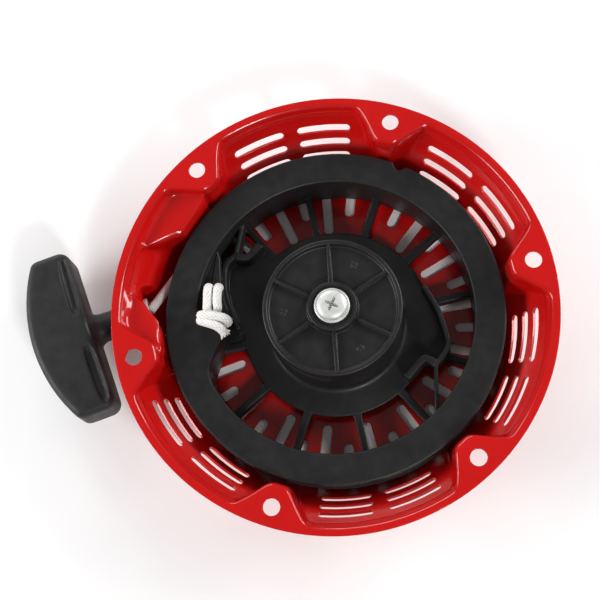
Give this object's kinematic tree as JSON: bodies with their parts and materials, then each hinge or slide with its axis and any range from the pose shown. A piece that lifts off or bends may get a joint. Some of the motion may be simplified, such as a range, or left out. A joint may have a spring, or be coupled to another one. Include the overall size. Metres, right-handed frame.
{
  "type": "recoil starter",
  "caption": "Recoil pull starter for a small petrol engine: slotted pressed steel housing, spring-return rope reel with swing-out pawls, ratchet guide, rope and T-shaped pull grip.",
  "frame": {"origin": "centre of the bolt circle on the mounting face, on the reel's axis", "axes": "+Z along the reel's axis towards the engine, -X the way the grip is pulled"},
  "size_m": [0.2196, 0.187, 0.0461],
  "materials": {
    "red_paint": "gloss",
    "steel": "satin",
    "zinc": "bright zinc plating",
    "spring_steel": "oiled",
    "black_plastic": "moulded, satin",
    "grip_plastic": "moulded, matte",
    "rope": "braided nylon"
  },
  "bodies": {
    "housing": {"housing": "red_paint", "spindle": "steel", "rope_guide": "zinc", "setting_screw": "zinc", "screw_washer": "zinc", "rope_lead_in": "rope"},
    "reel": {"reel": "black_plastic", "recoil_spring": "spring_steel", "rope_coil": "rope", "rope_knot_reel": "rope", "pawl_spring_a": "spring_steel", "pawl_spring_b": "spring_steel"},
    "guide": {"ratchet_guide": "black_plastic", "friction_spring": "spring_steel"},
    "pawl_a": {"pawl_a": "steel"},
    "pawl_b": {"pawl_b": "steel"},
    "grip": {"grip": "grip_plastic", "grip_washer": "zinc", "rope_lead_out": "rope", "rope_knot_grip": "rope"}
  },
  "joints": [
    {"name": "reel_spin", "type": "hinge", "parent": "housing", "child": "reel", "pos_m": [0, 0, 0], "axis": [0, 0, 1], "range_deg": [0, 1045], "stiffness_Nm_per_rad": 0.05, "springref_deg": -538.58, "deforming": ["recoil_spring"]},
    {"name": "grip_pull", "type": "slide", "parent": "housing", "child": "grip", "axis": [-1, 0, 0], "range_m": [0, 1.2], "deforming": ["rope_lead_out"]},
    {"name": "guide_turn", "type": "hinge", "parent": "reel", "child": "guide", "pos_m": [0, 0, 0], "axis": [0, 0, 1], "range_deg": [-30, 0]},
    {"name": "pawl_a_swing", "type": "hinge", "parent": "reel", "child": "pawl_a", "pos_m": [0.01879, 0.00684, 0], "axis": [0, 0, 1], "range_deg": [-36, 0], "deforming": ["pawl_spring_a"]},
    {"name": "pawl_b_swing", "type": "hinge", "parent": "reel", "child": "pawl_b", "pos_m": [-0.01879, -0.00684, 0], "axis": [0, 0, 1], "range_deg": [-36, 0], "deforming": ["pawl_spring_b"]}
  ],
  "couplings": [
    {"joint": "grip_pull", "follows": "reel_spin", "m_per_rad": 0.0655},
    {"joint": "pawl_a_swing", "follows": "guide_turn", "ratio": 1.2},
    {"joint": "pawl_b_swing", "follows": "guide_turn", "ratio": 1.2}
  ]
}
